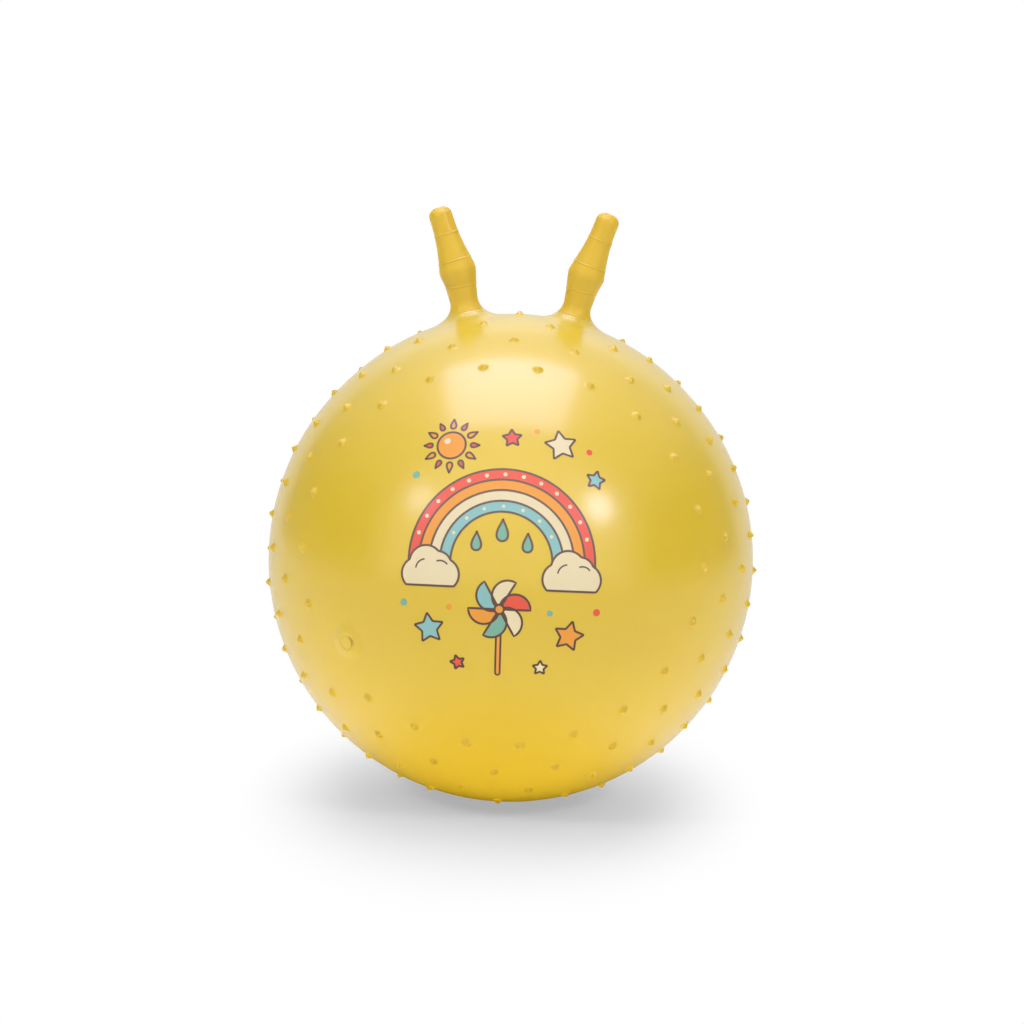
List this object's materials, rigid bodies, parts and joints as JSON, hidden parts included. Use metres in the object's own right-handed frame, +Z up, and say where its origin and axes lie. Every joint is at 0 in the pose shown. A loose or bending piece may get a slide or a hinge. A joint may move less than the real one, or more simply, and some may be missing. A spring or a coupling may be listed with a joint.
{
  "type": "hopper ball",
  "caption": "Inflatable jumping ball of soft vinyl with massage studs, two bending horns to hold, a plugged air valve and a flattened patch to rest on.",
  "frame": {"origin": "middle of the flattened patch that the ball rests on, at floor level", "axes": "+Z up from the patch through the middle of the ball, +X to the right horn as seen from the front, -Y out of the printed front"},
  "size_m": [0.4572, 0.4498, 0.5476],
  "materials": {
    "skin_vinyl": "soft satin vinyl, inflated",
    "horn_vinyl": "soft satin vinyl, thicker and duller than the ball",
    "plug_vinyl": "soft satin vinyl",
    "print_ink": "screen print on the front panel"
  },
  "bodies": {
    "ball": {"ball_skin": "skin_vinyl", "front_studs": "skin_vinyl", "side_studs": "skin_vinyl", "back_studs": "skin_vinyl", "valve_seat": "skin_vinyl"},
    "left_neck": {"left_neck": "horn_vinyl"},
    "left_horn": {"left_grip": "horn_vinyl"},
    "right_neck": {"right_neck": "horn_vinyl"},
    "right_horn": {"right_grip": "horn_vinyl"},
    "plug": {"valve_plug": "plug_vinyl"}
  },
  "joints": [
    {"name": "left_splay", "type": "hinge", "parent": "ball", "child": "left_neck", "pos_m": [-0.0517, 0, 0.45875], "axis": [0, -1, 0], "range_deg": [-20, 35], "stiffness_Nm_per_rad": 1.5, "deforming": ["left_neck"]},
    {"name": "left_pull", "type": "hinge", "parent": "left_neck", "child": "left_horn", "pos_m": [-0.05398, 0, 0.46862], "axis": [0.9744, 0, 0.225], "range_deg": [-35, 35], "stiffness_Nm_per_rad": 1.5, "deforming": ["left_neck"]},
    {"name": "right_splay", "type": "hinge", "parent": "ball", "child": "right_neck", "pos_m": [0.0517, 0, 0.45875], "axis": [0, 1, 0], "range_deg": [-20, 35], "stiffness_Nm_per_rad": 1.5, "deforming": ["right_neck"]},
    {"name": "right_pull", "type": "hinge", "parent": "right_neck", "child": "right_horn", "pos_m": [0.05398, 0, 0.46862], "axis": [0.9744, 0, -0.225], "range_deg": [-35, 35], "stiffness_Nm_per_rad": 1.5, "deforming": ["right_neck"]},
    {"name": "plug_pull", "type": "slide", "parent": "ball", "child": "plug", "axis": [-0.5839, -0.7749, -0.2419], "range_m": [0, 0.02]}
  ]
}
